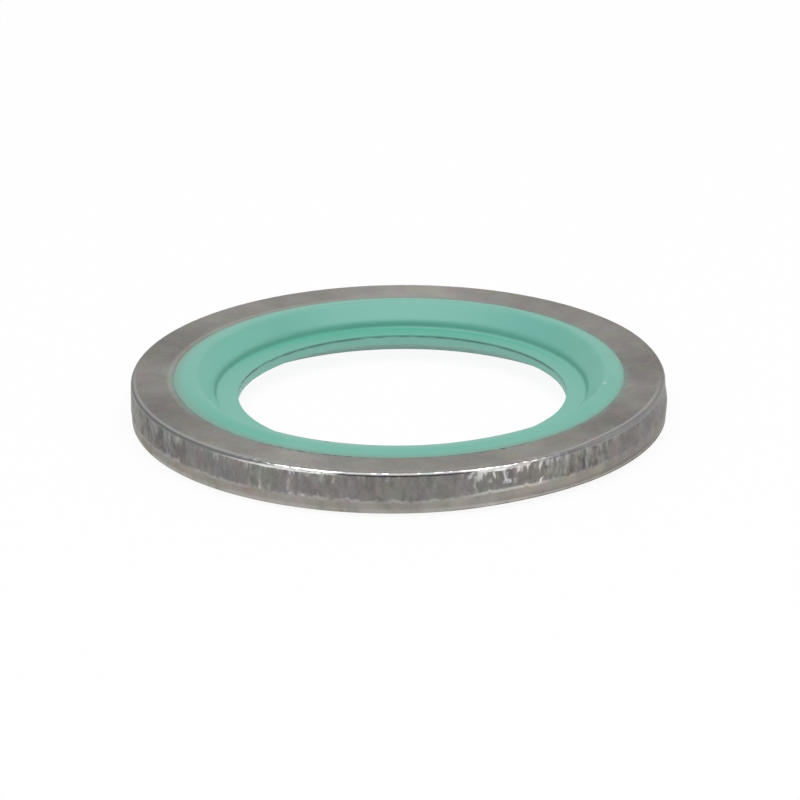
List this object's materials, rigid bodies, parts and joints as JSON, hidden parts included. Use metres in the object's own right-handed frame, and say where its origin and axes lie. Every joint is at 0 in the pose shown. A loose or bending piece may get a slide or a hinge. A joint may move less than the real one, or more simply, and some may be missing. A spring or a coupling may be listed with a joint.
{
  "type": "seal ring",
  "caption": "Flat steel ring with a green rubber element bonded in its bore: two low beads seal the faces and a thin lip centres it on a screw.",
  "frame": {"origin": "middle of the circle on which the lower bead rests", "axes": "+Z along the ring's axis, towards the face whose cut edge is rolled over"},
  "size_m": [0.022, 0.022, 0.0021],
  "materials": {
    "tumbled_steel": "blanked and tumbled, grey",
    "green_rubber": "moulded, matte, pale blue-green"
  },
  "bodies": {
    "root": {"steel_ring": "tumbled_steel", "rubber_seal": "green_rubber"}
  },
  "joints": []
}
